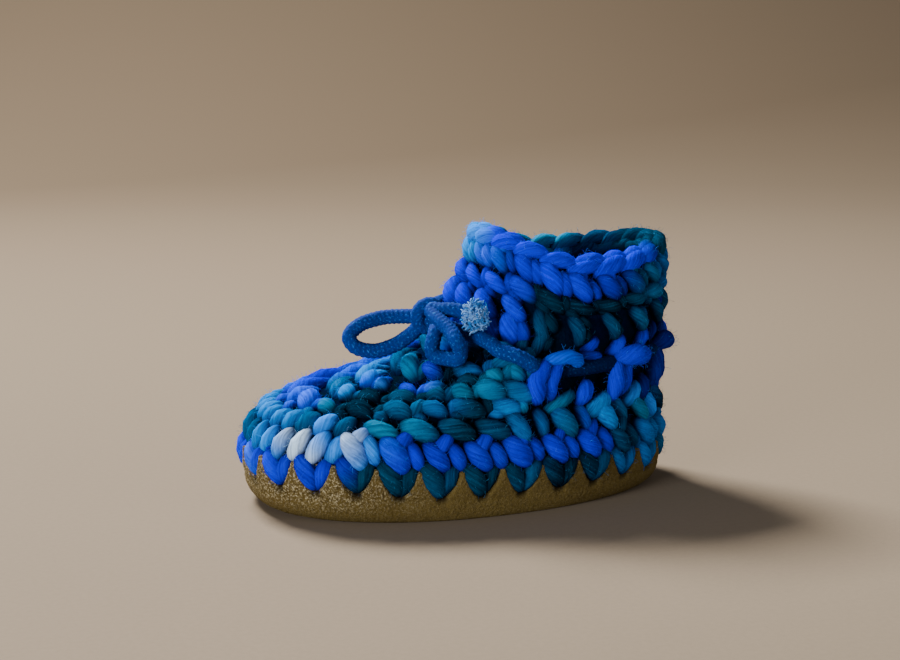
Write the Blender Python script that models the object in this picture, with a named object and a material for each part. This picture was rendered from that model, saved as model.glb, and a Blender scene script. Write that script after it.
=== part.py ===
# A baby slipper: a crocheted wool upper worked onto a shallow suede sole,
# with a knitted cord threaded round the ankle and tied in a bow at the front.
#
# +X points to the toe, +Y to the slipper's left, +Z up. The origin is on the floor,
# under the middle of the slipper's box. Blender's units are metres.

import math

import bmesh
import bpy
import numpy as np

# Driving sizes, in metres.
HALF_LENGTH = 0.0565  # from the middle to the front of the sole's edge
HALF_WIDTH = 0.033  # at the ball of the foot
HEIGHT = 0.067  # to the front of the collar's rim

SOLE_WALL = 0.002  # suede
UPPER_WALL = 0.0035  # behind the grooves between the rounds
STITCH_RISE = 0.0019  # how far a stitch stands out from the groove beside it
STITCH_DENT = 0.3  # how much of the rise is lost between two lobes of a stitch
GROOVE_RISE = 0.0003
GAP = 0.0003  # between two pieces that touch
INSOLE_THICKNESS = 0.0042
CORD_RADIUS = 0.0019
CHANNEL_DEPTH = 0.0016  # of the channel that the cord lies in at the ankle
KNOT_RADII = (0.0043, 0.0046, 0.0040)

FOOT_STITCHES = 26  # in each round below the ankle
COLLAR_STITCHES = 20  # in each round from the ankle up
COLUMNS_PER_STITCH = 4
STITCH_ROWS = (0.3, 0.7)  # heights of a stitch's lower and upper row, as shares of its round
LOBE_LEAN = 0.6  # columns that a lobe moves sideways from its foot to its top
SOLE_COLUMNS = 72
LINING_COLUMNS = 40
EVEN_STEPS = 720  # fineness of the walk that spaces columns evenly
SLOPE_TURN = 0.01  # radians to either side, for the slope of the surface at a point

# The grooves between the rounds, from the floor to the rim. front, back and middle are shares
# of HALF_LENGTH, half_width of HALF_WIDTH, and the heights of HEIGHT. The soft collar sags by
# left_sag on the left side. fullness below 1 squares the outline a little.
ROUND_COLUMNS = (
    "name", "front", "back", "half_width", "middle",
    "front_height", "side_height", "back_height", "left_sag", "fullness",
)
ROUNDS = (
    ("floor", 0.867, -0.867, 0.909, 0.09, 0.0, 0.0, 0.0, 0.0, 0.90),
    ("belly", 0.985, -0.965, 0.985, 0.11, 0.112, 0.082, 0.082, 0.0, 0.85),
    ("sole_edge", 0.994, -0.965, 1.0, 0.11, 0.230, 0.191, 0.172, 0.0, 0.85),
    ("foot_1", 0.947, -0.965, 1.0, 0.09, 0.350, 0.288, 0.272, 0.0, 0.87),
    ("foot_2", 0.832, -0.956, 0.909, 0.0, 0.400, 0.388, 0.388, 0.0, 0.95),
    ("foot_3", 0.637, -0.965, 0.833, -0.09, 0.418, 0.481, 0.500, 0.0, 0.98),
    ("ankle", 0.336, -1.0, 0.788, -0.30, 0.470, 0.604, 0.634, 0.010, 1.0),
    ("collar_1", 0.053, -0.991, 0.758, -0.44, 0.619, 0.724, 0.754, 0.014, 1.0),
    ("collar_2", 0.018, -0.991, 0.727, -0.48, 0.761, 0.813, 0.828, 0.032, 1.0),
    ("collar_3", -0.035, -0.991, 0.652, -0.50, 0.881, 0.888, 0.918, 0.040, 1.0),
    ("rim", -0.088, -0.965, 0.530, -0.51, 1.0, 0.940, 0.963, 0.030, 1.0),
)
LEVEL = {row[0]: index for index, row in enumerate(ROUNDS)}
TOE_LIFT_END = 0.9  # cosine at which the rounds reach their front height

# Each stitch of the first round reaches down over the sole's edge as a V.
TAB_TIP_DROP = 0.80  # of the band between the belly and the sole's edge
TAB_SIDE_DROP = 0.45
TAB_TOP_DROP = 0.06
TAB_SWELL_AT = 0.55  # share of the way down where a tab is fullest
TAB_FOOT_RISE = 0.4  # of the stitch rise

# The ankle round: rows along the channel for the cord, and the row of lobes above it.
CHANNEL_ROWS = (0.15, 0.45)
ANKLE_LOBE_ROW = 0.78
RIM_ROUNDING = 0.35  # of the top round, inside the collar

# The cord's run from beside the knot to the middle of the heel, on the left side. The right
# side mirrors it. level and rise are as in surface(), and turn is in degrees from the toe.
TIE_COLUMNS = ("level", "turn", "rise")
TIE_RUN = (
    (6.95, 16, 0.0046),
    (6.95, 25, 0.0044),
    (6.88, 36, 0.0043),
    (6.58, 53, 0.0045),
    (6.00, 70, 0.0043),
    (5.70, 81, 0.0038),
    (5.50, 89, 0.0031),
    (5.39, 96, 0.0023),
    (5.31, 104, 0.0015),
    (5.30, 120, 0.0012),
    (5.30, 150, 0.0012),
    (5.30, 180, 0.0012),
)
TIE_POINTS = 57
KNOT_PLACE = (6.95, 7, 0.0074)  # level, turn and rise
ROUTE_STEPS = 24  # between two route points, on the smooth curve through them

# Routes of the bow's loops and ends, from the knot's middle.
LOOP_TOWARD_TOE = (
    (0.0038, -0.0036, -0.0005),
    (0.0080, -0.0061, -0.0007),
    (0.0115, -0.0071, -0.0012),
    (0.0158, -0.0075, -0.0024),
    (0.0190, -0.0069, -0.0047),
    (0.0191, -0.0056, -0.0066),
    (0.0172, -0.0044, -0.0081),
    (0.0131, -0.0032, -0.0086),
    (0.0086, -0.0021, -0.0072),
    (0.0058, -0.0010, -0.0052),
    (0.0044, -0.0004, -0.0040),
)
LOOP_OVER_SIDE = (
    (0.0000, 0.0054, -0.0015),
    (0.0018, 0.0094, -0.0022),
    (0.0031, 0.0107, -0.0050),
    (0.0028, 0.0109, -0.0077),
    (0.0008, 0.0142, -0.0080),
    (-0.0014, 0.0167, -0.0080),
    (-0.0022, 0.0162, -0.0058),
    (-0.0010, 0.0168, -0.0033),
    (-0.0007, 0.0136, -0.0014),
)
END_ON_LEFT = (
    (-0.0010, 0.0057, 0.0025),
    (-0.0027, 0.0073, 0.0027),
    (-0.0045, 0.0088, 0.0026),
    (-0.0062, 0.0105, 0.0021),
    (-0.0068, 0.0125, 0.0016),
    (-0.0066, 0.0148, 0.0014),
)
END_ON_RIGHT = (
    (-0.0010, -0.0046, 0.0019),
    (-0.0022, -0.0086, 0.0030),
    (-0.0030, -0.0125, 0.0036),
    (-0.0046, -0.0165, 0.0040),
    (-0.0070, -0.0203, 0.0040),
    (-0.0102, -0.0238, 0.0038),
)

MATERIALS = {
    "yarn": ((0.02, 0.16, 0.42, 1.0), 0.85),
    "suede": ((0.42, 0.33, 0.19, 1.0), 0.95),
    "fleece": ((0.78, 0.74, 0.66, 1.0), 1.0),
    "cord": ((0.03, 0.17, 0.50, 1.0), 0.8),
}


def clear_scene():
    for item in list(bpy.data.objects):
        bpy.data.objects.remove(item, do_unlink=True)


def material(name):
    made = bpy.data.materials.get(name)
    if made is None:
        colour, roughness = MATERIALS[name]
        made = bpy.data.materials.new(name)
        made.use_nodes = True
        shader = made.node_tree.nodes["Principled BSDF"]
        shader.inputs["Base Color"].default_value = colour
        shader.inputs["Roughness"].default_value = roughness
        shader.inputs["Metallic"].default_value = 0.0
    return made


def smooth_step(value, end):
    share = np.clip(value / end, 0.0, 1.0)
    return share * share * (3.0 - 2.0 * share)


# One groove as points at the given angles: 0 is the toe and a quarter turn the left side.
def groove(index, angles):
    row = dict(zip(ROUND_COLUMNS, ROUNDS[index]))
    c, s = np.cos(angles), np.sin(angles)
    reach = np.where(c > 0.0, row["front"] - row["middle"], row["middle"] - row["back"])
    x = HALF_LENGTH * (row["middle"] + reach * c)
    y = HALF_WIDTH * row["half_width"] * np.sign(s) * np.abs(s) ** row["fullness"]
    to_front = (row["front_height"] - row["side_height"]) * smooth_step(c, TOE_LIFT_END)
    to_back = (row["back_height"] - row["side_height"]) * c * c
    sag = row["left_sag"] * np.clip(s, 0.0, 1.0) ** 2
    z = HEIGHT * (row["side_height"] - sag + np.where(c > 0.0, to_front, to_back))
    return np.stack([x, y, z], axis=1)


# The slipper's surface without its stitches. level counts grooves up from the floor, and may
# be one number or one for each angle.
def bare_surface(level, angles):
    level = np.broadcast_to(np.asarray(level, float), angles.shape)
    below = np.clip(np.floor(level).astype(int), 0, len(ROUNDS) - 2)
    share = (level - below)[:, None]
    points = np.zeros((len(angles), 3))
    for index in np.unique(below):
        here = below == index
        low, high = groove(index, angles[here]), groove(index + 1, angles[here])
        points[here] = low + share[here] * (high - low)
    return points


# The same surface moved outward by rise, which may be one number or one for each angle.
def surface(level, angles, rise=0.0):
    level = np.asarray(level, float)
    along = bare_surface(level, angles + SLOPE_TURN) - bare_surface(level, angles - SLOPE_TURN)
    above, below = np.minimum(level + 0.5, len(ROUNDS) - 1), np.maximum(level - 0.5, 0.0)
    normals = np.cross(along, bare_surface(above, angles) - bare_surface(below, angles))
    normals /= np.linalg.norm(normals, axis=1)[:, None]
    return bare_surface(level, angles) + normals * np.reshape(rise, (-1, 1))


# Angles that space columns evenly along the groove at a level.
def even_angles(count, level):
    fine = np.linspace(0.0, 2.0 * math.pi, EVEN_STEPS + 1)
    points = surface(level, fine)
    steps = np.linalg.norm(np.diff(points, axis=0), axis=1)
    walked = np.concatenate([[0.0], np.cumsum(steps)])
    return np.interp(np.arange(count) / count * walked[-1], walked, fine)


# The faces between two closed rings of vertices, which may differ in number.
def join_rings(mesh, low, low_angles, high, high_angles):
    if len(low) == len(high):
        for i in range(len(low)):
            k = (i + 1) % len(low)
            mesh.faces.new((low[i], low[k], high[k], high[i]))
        return
    i = j = 0
    while i < len(low) or j < len(high):
        next_low = low_angles[i + 1] if i + 1 < len(low) else 2.0 * math.pi
        next_high = high_angles[j + 1] if j + 1 < len(high) else 2.0 * math.pi
        step_low = j >= len(high) or (i < len(low) and next_low <= next_high)
        a, b = low[i % len(low)], high[j % len(high)]
        if step_low:
            i += 1
            mesh.faces.new((a, low[i % len(low)], b))
        else:
            j += 1
            mesh.faces.new((a, high[j % len(high)], b))


# A mesh from rings, each (points, angles). A closed loft joins its last ring to its first;
# an open one is capped at both ends.
def loft(name, rings, closed, slot):
    mesh = bmesh.new()
    made = [([mesh.verts.new(p) for p in points], angles) for points, angles in rings]
    pairs = list(zip(made, made[1:] + made[:1])) if closed else list(zip(made, made[1:]))
    for (low, low_angles), (high, high_angles) in pairs:
        join_rings(mesh, low, low_angles, high, high_angles)
    if not closed:
        mesh.faces.new(made[0][0])
        mesh.faces.new(made[-1][0])
    bmesh.ops.recalc_face_normals(mesh, faces=mesh.faces)
    data = bpy.data.meshes.new(name)
    mesh.to_mesh(data)
    mesh.free()
    data.shade_smooth()
    data.set_sharp_from_angle(angle=math.radians(50))
    data.materials.append(material(slot))
    made_object = bpy.data.objects.new(name, data)
    bpy.context.collection.objects.link(made_object)
    return made_object


# A ring on the rounded turn between the sole's flat bottom and its side.
def sole_turn(angles, turned, inset, lift):
    flat, side = surface(0.0, angles), surface(1.0, angles, -inset)
    ring = flat + math.sin(turned) * (side - flat)
    ring[:, 2] = lift + (side[:, 2] - lift) * (1.0 - math.cos(turned))
    return ring


def build_sole():
    angles = even_angles(SOLE_COLUMNS, LEVEL["sole_edge"])
    turns = [math.radians(degrees) for degrees in (0, 30, 60, 90)]
    edge = LEVEL["sole_edge"]
    rings = [sole_turn(angles, turned, 0.0, 0.0) for turned in turns]
    rings.append(surface(edge - 0.5, angles))
    for inset in (0.0, SOLE_WALL):
        rim = surface(edge, angles, -inset)
        rim[:, 2] -= GAP
        rings.append(rim)
    rings += [sole_turn(angles, turned, SOLE_WALL, SOLE_WALL) for turned in reversed(turns)]
    return loft("sole", [(ring, angles) for ring in rings], False, "suede")


def build_insole():
    angles = even_angles(SOLE_COLUMNS // 2, LEVEL["sole_edge"])
    bottom = SOLE_WALL + GAP
    sections = (  # share of the way from the floor's outline to the belly's, and height
        ("under", -0.10, 0.0),
        ("side", 0.25, 0.4),
        ("shoulder", 0.35, 0.75),
        ("top", -0.15, 1.0),
    )
    rings = []
    for _, spread, share in sections:
        flat, side = surface(0.0, angles), surface(1.0, angles, -SOLE_WALL)
        ring = flat + spread * (side - flat)
        ring[:, 2] = bottom + INSOLE_THICKNESS * share
        rings.append((ring, angles))
    return loft("insole", rings, False, "fleece")


# The share of the stitch rise at each column, and how far each column leans: the two lobes of
# a V are close together at its foot and apart at its top.
def stitch_columns(angles):
    column = np.arange(len(angles)) % COLUMNS_PER_STITCH
    lobe = np.where(column % 2 == 1, 1.0, 1.0 - STITCH_DENT)
    way = np.select([column == 1, column == 3], [1.0, -1.0], 0.0)
    lean = way * LOBE_LEAN * math.tau / len(angles)
    return lobe, lean


def stitch_row(level, angles, height):
    lobe, lean = stitch_columns(angles)
    return surface(level, angles + lean * (0.5 - height), STITCH_RISE * lobe)


def build_upper():
    foot = even_angles(FOOT_STITCHES * COLUMNS_PER_STITCH, LEVEL["sole_edge"])
    collar = even_angles(COLLAR_STITCHES * COLUMNS_PER_STITCH, LEVEL["collar_2"])
    lining = even_angles(LINING_COLUMNS, LEVEL["foot_3"])
    edge, ankle, rim = LEVEL["sole_edge"], LEVEL["ankle"], LEVEL["rim"]

    column = np.arange(len(foot)) % COLUMNS_PER_STITCH
    drops = (TAB_TOP_DROP, TAB_SIDE_DROP, TAB_TIP_DROP, TAB_SIDE_DROP)
    tab_foot = edge - np.choose(column, drops)
    tab_swell = edge + (tab_foot - edge) * TAB_SWELL_AT
    lobe, _ = stitch_columns(foot)
    rings = [
        (surface(tab_foot, foot, GAP + TAB_FOOT_RISE * STITCH_RISE), foot),
        (surface(tab_swell, foot, GAP + STITCH_RISE * lobe), foot),
        (surface(edge, foot, GAP + GROOVE_RISE), foot),
    ]
    for level in range(edge, LEVEL["foot_3"]):
        rings += [(stitch_row(level + height, foot, height), foot) for height in STITCH_ROWS]
        rings.append((surface(level + 1, foot, GROOVE_RISE), foot))
    channel = LEVEL["foot_3"]
    rings += [(surface(channel + row, collar, -CHANNEL_DEPTH), collar) for row in CHANNEL_ROWS]
    rings.append((stitch_row(channel + ANKLE_LOBE_ROW, collar, ANKLE_LOBE_ROW), collar))
    for level in range(ankle, rim):
        rings.append((surface(level, collar, GROOVE_RISE), collar))
        rings += [(stitch_row(level + row, collar, row), collar) for row in STITCH_ROWS]
    rings.append((surface(rim, collar, -0.5 * UPPER_WALL), collar))
    rings += [
        (surface(level, lining, -UPPER_WALL), lining)
        for level in (rim - RIM_ROUNDING, *range(rim - 1, edge - 1, -1))
    ]
    rings.append((surface(edge, foot, GAP), foot))
    rings.append((surface(tab_foot, foot, GAP), foot))
    return loft("upper", rings, True, "yarn")


# Points evenly along a smooth curve through the given ones.
def smooth_route(points, count):
    points = np.asarray(points, float)
    ends = np.concatenate([2 * points[:1] - points[1:2], points, 2 * points[-1:] - points[-2:-1]])
    fine = []
    for a, b, c, d in zip(ends, ends[1:], ends[2:], ends[3:]):
        for t in np.linspace(0.0, 1.0, ROUTE_STEPS, endpoint=False):
            even, odd = 2 * b + (2 * a - 5 * b + 4 * c - d) * t * t, (c - a) * t
            fine.append(0.5 * (even + odd + (3 * b - a - 3 * c + d) * t ** 3))
    fine = np.array(fine + [points[-1]])
    walked = np.concatenate([[0.0], np.cumsum(np.linalg.norm(np.diff(fine, axis=0), axis=1))])
    at = np.linspace(0.0, walked[-1], count)
    return np.stack([np.interp(at, walked, fine[:, axis]) for axis in range(3)], axis=1)


def cord(name, points):
    curve = bpy.data.curves.new(name, "CURVE")
    curve.dimensions = "3D"
    curve.bevel_depth = CORD_RADIUS
    curve.bevel_resolution = 2
    curve.use_fill_caps = True
    spline = curve.splines.new("POLY")
    spline.points.add(len(points) - 1)
    for place, point in zip(spline.points, points):
        place.co = (*point, 1.0)
    curve.materials.append(material("cord"))
    made = bpy.data.objects.new(name, curve)
    bpy.context.collection.objects.link(made)
    return made


def build_tie_band():
    run = dict(zip(TIE_COLUMNS, np.array(TIE_RUN).T))
    levels = np.concatenate([run["level"], run["level"][-2::-1]])
    turns = np.radians(np.concatenate([run["turn"], 360.0 - run["turn"][-2::-1]]))
    rises = np.concatenate([run["rise"], run["rise"][-2::-1]])
    levels, turns, rises = smooth_route(np.stack([levels, turns, rises], axis=1), TIE_POINTS).T
    return cord("tie_band", smooth_route(surface(levels, turns, rises), TIE_POINTS))


def build_bow():
    level, turn, rise = KNOT_PLACE
    middle = surface(level, np.radians([turn]), rise)[0]
    mesh = bmesh.new()
    bmesh.ops.create_uvsphere(mesh, u_segments=16, v_segments=10, radius=1.0)
    for vertex in mesh.verts:
        vertex.co = [c + r * v for c, r, v in zip(middle, KNOT_RADII, vertex.co)]
    data = bpy.data.meshes.new("tie_knot")
    mesh.to_mesh(data)
    mesh.free()
    data.shade_smooth()
    data.materials.append(material("cord"))
    knot = bpy.data.objects.new("tie_knot", data)
    bpy.context.collection.objects.link(knot)
    for name, route, count in (
        ("tie_loop_toe", LOOP_TOWARD_TOE, 24),
        ("tie_loop_side", LOOP_OVER_SIDE, 18),
        ("tie_end_left", END_ON_LEFT, 8),
        ("tie_end_right", END_ON_RIGHT, 10),
    ):
        cord(name, smooth_route(middle + np.array(route), count))


def main():
    clear_scene()
    build_sole()
    build_insole()
    build_upper()
    build_tie_band()
    build_bow()


main()
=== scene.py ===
# Baby slipper: a crocheted upper of thick hand-dyed wool on a suede sole, with a knitted cord
# threaded round the ankle and tied in a bow at the front.
# +X is the toe, +Y the slipper's left, +Z up. Everything is in metres.

import math

import bmesh
import bpy
import numpy as np
from mathutils import Matrix, Vector


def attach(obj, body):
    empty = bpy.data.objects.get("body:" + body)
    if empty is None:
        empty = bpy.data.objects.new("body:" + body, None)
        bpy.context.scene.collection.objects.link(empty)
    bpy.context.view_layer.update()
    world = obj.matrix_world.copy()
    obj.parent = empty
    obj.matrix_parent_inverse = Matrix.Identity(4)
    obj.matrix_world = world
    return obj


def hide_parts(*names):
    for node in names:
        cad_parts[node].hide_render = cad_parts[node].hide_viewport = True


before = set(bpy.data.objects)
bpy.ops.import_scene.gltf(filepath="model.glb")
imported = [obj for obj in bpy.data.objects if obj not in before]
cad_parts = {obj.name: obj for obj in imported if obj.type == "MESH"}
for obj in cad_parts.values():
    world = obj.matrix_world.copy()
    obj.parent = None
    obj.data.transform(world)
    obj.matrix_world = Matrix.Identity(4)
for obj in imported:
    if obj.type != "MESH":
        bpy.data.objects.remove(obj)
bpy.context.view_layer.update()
millimetre = 0.001

view = {
    "azimuth": 160.0,
    "elevation": 11.0,
    "distance": 0.55,
    "lens": 86.0,
    "target": (0.002, 0.0, 0.0414),
}


def newObject(name, data):
    made = bpy.data.objects.new(name, data)
    bpy.context.collection.objects.link(made)
    return made


def aimed(place, away):  # for a camera or lamp at place, with its back to away
    return Matrix.Translation(place) @ away.to_track_quat("Z", "Y").to_matrix().to_4x4()


def addCamera():
    turn, lift = math.radians(view["azimuth"]), math.radians(view["elevation"])
    away = Vector((math.sin(turn) * math.cos(lift), -math.cos(turn) * math.cos(lift), math.sin(lift)))
    data = bpy.data.cameras.new("camera")
    data.lens = view["lens"]
    data.sensor_width = 36.0
    data.clip_start = 0.01
    camera = newObject("camera", data)
    camera.matrix_world = aimed(Vector(view["target"]) + away * view["distance"], away)
    bpy.context.scene.camera = camera


addCamera()
print("camera done")


class Link:  # a node's output, on which arithmetic adds Math nodes
    def __init__(self, graph, socket):
        self.graph = graph
        self.socket = socket

    def math(self, operation, other=0.0, swapped=False):
        pair = (other, self) if swapped else (self, other)
        return self.graph.add("ShaderNodeMath", {0: pair[0], 1: pair[1]}, {"operation": operation})

    def __add__(self, other):
        return self.math("ADD", other)

    __radd__ = __add__

    def __sub__(self, other):
        return self.math("SUBTRACT", other)

    def __rsub__(self, other):
        return self.math("SUBTRACT", other, True)

    def __mul__(self, other):
        return self.math("MULTIPLY", other)

    def __truediv__(self, other):
        return self.math("DIVIDE", other)

    def out(self, name):
        return Link(self.graph, self.socket.node.outputs[name])


class Graph:  # a node tree, to which add() puts any node
    def __init__(self, tree):
        self.tree = tree

    def feed(self, socket, value):
        if isinstance(value, Link):
            self.tree.links.new(value.socket, socket)
        else:
            socket.default_value = value

    def add(self, kind, values=None, settings=None, output=0):
        node = self.tree.nodes.new(kind)
        for name, value in (settings or {}).items():
            setattr(node, name, value)
        for name, value in (values or {}).items():
            self.feed(node.inputs[name], value)
        return Link(self, node.outputs[output]) if node.outputs else node

    def place(self):  # the point's own coordinates
        return self.add("ShaderNodeTexCoord", output="Object")

    def attribute(self, name, output="Fac"):
        return self.add("ShaderNodeAttribute", None, {"attribute_name": name}, output)

    def named(self, name, kind="FLOAT"):
        return self.add("GeometryNodeInputNamedAttribute", {"Name": name}, {"data_type": kind})

    def store(self, shape, name, value, kind="FLOAT"):
        values = {"Geometry": shape, "Name": name, "Value": value}
        return self.add("GeometryNodeStoreNamedAttribute", values, {"data_type": kind})

    def vector(self, operation, first, second, output=0):
        settings = {"operation": operation}
        return self.add("ShaderNodeVectorMath", {0: first, 1: second}, settings, output)

    def noise(self, place, scale, detail=3.0, roughness=0.55):
        values = {"Vector": place, "Scale": scale, "Detail": detail, "Roughness": roughness}
        return self.add("ShaderNodeTexNoise", values)

    def between(self, value, low, high):  # 0 below low, 1 above high
        return self.add("ShaderNodeMapRange", {"Value": value, "From Min": low, "From Max": high})

    def mix(self, share, first, second, blend="MIX"):
        settings = {"data_type": "RGBA", "blend_type": blend}
        return self.add("ShaderNodeMix", {0: share, 6: first, 7: second}, settings, 2)

    def dim(self, colour, by):  # one colour times another
        return self.mix(1.0, colour, by, "MULTIPLY")

    def bump(self, strength, distance, height):
        values = {"Strength": strength, "Distance": distance, "Height": height}
        return self.add("ShaderNodeBump", values)


def geometryTree(name, sizes):  # sizes: input name to socket type
    tree = bpy.data.node_groups.new(name, "GeometryNodeTree")
    tree.interface.new_socket("Geometry", in_out="INPUT", socket_type="NodeSocketGeometry")
    for size, kind in (sizes | {"Material": "Material"}).items():
        tree.interface.new_socket(size, in_out="INPUT", socket_type="NodeSocket" + kind)
    tree.interface.new_socket("Geometry", in_out="OUTPUT", socket_type="NodeSocketGeometry")
    graph = Graph(tree)
    return graph, graph.add("NodeGroupInput")


def finishTree(graph, shape, given):
    realised = graph.add("GeometryNodeRealizeInstances", {0: shape})
    values = {"Geometry": realised, "Material": given.out("Material")}
    graph.add("NodeGroupOutput", {0: graph.add("GeometryNodeSetMaterial", values)})
    return graph.tree


def inputsOf(values, material, *names):  # a tree's inputs have the names of the values
    return {name.capitalize(): values[name] for name in names} | {"Material": material}


def runTree(name, source, tree, values):  # a plain mesh from a tree on a source object
    modifier = source.modifiers.new("shape", "NODES")
    modifier.node_group = tree
    for item in tree.interface.items_tree:
        if item.name in values:
            modifier[item.identifier] = values[item.name]
    evaluated = source.evaluated_get(bpy.context.evaluated_depsgraph_get())
    mesh = bpy.data.meshes.new_from_object(evaluated)
    mesh.name = name
    source.modifiers.remove(modifier)
    return newObject(name, mesh)


def newMaterial(name):
    made = bpy.data.materials.new(name)
    made.use_nodes = True
    made.node_tree.nodes.clear()
    return made, Graph(made.node_tree)


def finishMaterial(made, graph, colour, rough, shine, **more):
    values = {"Base Color": colour, "Roughness": rough, "Specular IOR Level": shine}
    shader = graph.add("ShaderNodeBsdfPrincipled", values | more)
    graph.add("ShaderNodeOutputMaterial", {"Surface": shader})
    return made


def settle(piece, slot, *nodes):  # on the slipper's one body, in place of the named solids
    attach(piece, "root")
    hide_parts(*nodes)
    print(slot, piece.name, len(piece.data.polygons), "faces")
    return piece


form = {
    "halfLength": 0.0565,
    "halfWidth": 0.033,
    "height": 0.067,
    "footStitches": 27,
    "collarStitches": 20,
    "toeLiftEnd": 0.9,
    "edgeShift": 0.105,  # of a stitch, from the rounds above to the Vs in the sole's edge
}

roundColumns = (
    "name", "front", "back", "halfWidth", "middle",
    "frontHeight", "sideHeight", "backHeight", "sag", "fullness",
)
rounds = (  # shares of halfLength, halfWidth and height
    ("floor", 0.867, -0.867, 0.909, 0.09, 0.0, 0.0, 0.0, 0.0, 0.90),
    ("belly", 0.985, -0.965, 0.985, 0.11, 0.112, 0.082, 0.082, 0.0, 0.85),
    ("soleEdge", 0.994, -0.965, 1.0, 0.11, 0.230, 0.191, 0.172, 0.0, 0.85),
    ("foot1", 0.947, -0.965, 1.0, 0.09, 0.350, 0.288, 0.272, 0.0, 0.87),
    ("foot2", 0.832, -0.956, 0.909, 0.0, 0.400, 0.388, 0.388, 0.0, 0.95),
    ("foot3", 0.637, -0.965, 0.833, -0.09, 0.418, 0.481, 0.500, 0.0, 0.98),
    ("ankle", 0.336, -1.0, 0.788, -0.30, 0.470, 0.604, 0.634, 0.010, 1.0),
    ("throat", 0.053, -0.995, 0.773, -0.40, 0.619, 0.664, 0.694, 0.012, 1.0),
    ("collar1", -0.007, -0.991, 0.752, -0.44, 0.790, 0.724, 0.754, 0.014, 1.0),
    ("collar2", -0.062, -0.991, 0.727, -0.48, 0.885, 0.798, 0.828, 0.032, 1.0),
    ("collar3", -0.092, -0.991, 0.652, -0.50, 0.965, 0.883, 0.912, 0.040, 1.0),
    ("rim", -0.100, -0.965, 0.530, -0.51, 1.0, 0.940, 0.953, 0.030, 1.0),
)
level = {row[0]: index for index, row in enumerate(rounds)}


def groove(index, turns):  # the line between two rounds; turn 0 is the toe
    row = dict(zip(roundColumns, rounds[index]))
    c, s = np.cos(turns), np.sin(turns)
    reach = np.where(c > 0.0, row["front"] - row["middle"], row["middle"] - row["back"])
    x = form["halfLength"] * (row["middle"] + reach * c)
    y = form["halfWidth"] * row["halfWidth"] * np.sign(s) * np.abs(s) ** row["fullness"]
    toward = np.clip(c / form["toeLiftEnd"], 0.0, 1.0)
    toFront = (row["frontHeight"] - row["sideHeight"]) * toward * toward * (3.0 - 2.0 * toward)
    toBack = (row["backHeight"] - row["sideHeight"]) * c * c
    sag = row["sag"] * s * s * np.where(s > 0.0, 1.0, 0.6)
    z = form["height"] * (row["sideHeight"] - sag + np.where(c > 0.0, toFront, toBack))
    return np.stack([x, y, z], axis=1)


def bareSurface(height, turns):
    below = np.clip(np.floor(height).astype(int), 0, len(rounds) - 2)
    share = (height - below)[:, None]
    points = np.zeros((len(turns), 3))
    for index in np.unique(below):
        here = below == index
        low, high = groove(index, turns[here]), groove(index + 1, turns[here])
        points[here] = low + share[here] * (high - low)
    return points


def surface(height, turns, out):  # height counts grooves up; out is outward, in metres
    turns = np.asarray(turns, float)
    height = np.broadcast_to(np.asarray(height, float), turns.shape)
    slope = 0.01
    along = bareSurface(height, turns + slope) - bareSurface(height, turns - slope)
    above, below = np.minimum(height + 0.5, len(rounds) - 1), np.maximum(height - 0.5, 0.0)
    normals = np.cross(along, bareSurface(above, turns) - bareSurface(below, turns))
    normals /= np.linalg.norm(normals, axis=1)[:, None]
    return bareSurface(height, turns) + normals * np.reshape(out, (-1, 1))


def stitchTurns(count, height):  # stitch number to turn, evenly spaced at one height
    fine = np.linspace(-math.tau, 2.0 * math.tau, 2161)
    walked = np.cumsum(np.linalg.norm(np.diff(surface(height, fine, 0.0), axis=0), axis=1))
    walked = np.concatenate([[0.0], walked]) / walked[-1] * 3.0 * count - count
    return lambda stitch: np.interp(stitch, walked, fine)


turnOf = {
    "foot": stitchTurns(form["footStitches"], level["soleEdge"]),
    "collar": stitchTurns(form["collarStitches"], level["collar2"]),
}


def smoothRows(rows, count):  # rows of numbers, evenly along a smooth curve through them
    rows = np.asarray(rows, float)
    ends = np.concatenate([2 * rows[:1] - rows[1:2], rows, 2 * rows[-1:] - rows[-2:-1]])
    fine = []
    for a, b, c, d in zip(ends, ends[1:], ends[2:], ends[3:]):
        square, cube = 2 * a - 5 * b + 4 * c - d, 3 * b - a - 3 * c + d
        for t in np.linspace(0.0, 1.0, 24, endpoint=False):
            fine.append(0.5 * (2 * b + (c - a) * t + square * t * t + cube * t**3))
    fine = np.array(fine + [rows[-1]])
    walked = np.concatenate([[0.0], np.cumsum(np.linalg.norm(np.diff(fine[:, :3], axis=0), axis=1))])
    at = np.linspace(0.0, walked[-1], count)
    return np.stack([np.interp(at, walked, fine[:, k]) for k in range(rows.shape[1])], axis=1)


dyes = {  # share of red, green and blue light that each sends back
    "cobalt": (0.0, 0.001, 0.74),
    "royal": (0.0, 0.008, 0.74),
    "azure": (0.0, 0.075, 0.80),
    "navy": (0.0, 0.004, 0.24),
    "ink": (0.0, 0.011, 0.026),
    "darkTeal": (0.0, 0.028, 0.060),
    "petrol": (0.0, 0.050, 0.135),
    "teal": (0.0, 0.092, 0.235),
    "tealBlue": (0.0, 0.115, 0.400),
    "brightTeal": (0.0, 0.205, 0.380),
    "cyan": (0.0, 0.235, 0.740),
    "lavender": (0.02, 0.10, 0.97),
    "ice": (0.02, 0.26, 0.95),
    "white": (0.54, 0.74, 1.0),
}

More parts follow.
